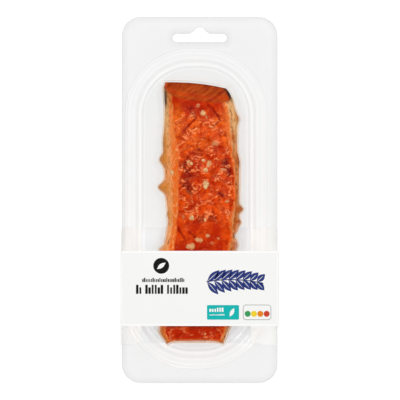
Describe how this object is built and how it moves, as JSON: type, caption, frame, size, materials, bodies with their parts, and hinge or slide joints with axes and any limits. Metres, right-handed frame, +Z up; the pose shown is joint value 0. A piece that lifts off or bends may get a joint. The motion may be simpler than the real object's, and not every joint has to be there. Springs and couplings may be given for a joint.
{
  "type": "hot smoked salmon fillet in a skin pack",
  "caption": "Smoked salmon fillet under clear film in a stepped hang-hole tray with a paper sleeve",
  "frame": {"origin": "under the middle of the pack, on the plane that the sleeve's back panel rests on", "axes": "+Y along the pack towards the hang hole, +Z up out of the food side, +X across"},
  "size_m": [0.0974, 0.226, 0.0218],
  "materials": {
    "tray": "clear gloss",
    "film": "clear gloss",
    "flesh": "moist",
    "fish_skin": "moist",
    "paper": "matt, printed"
  },
  "bodies": {
    "root": {"tray": "tray", "skin_film": "film", "salmon_flesh": "flesh", "salmon_skin": "fish_skin", "paper_sleeve": "paper"}
  },
  "joints": []
}
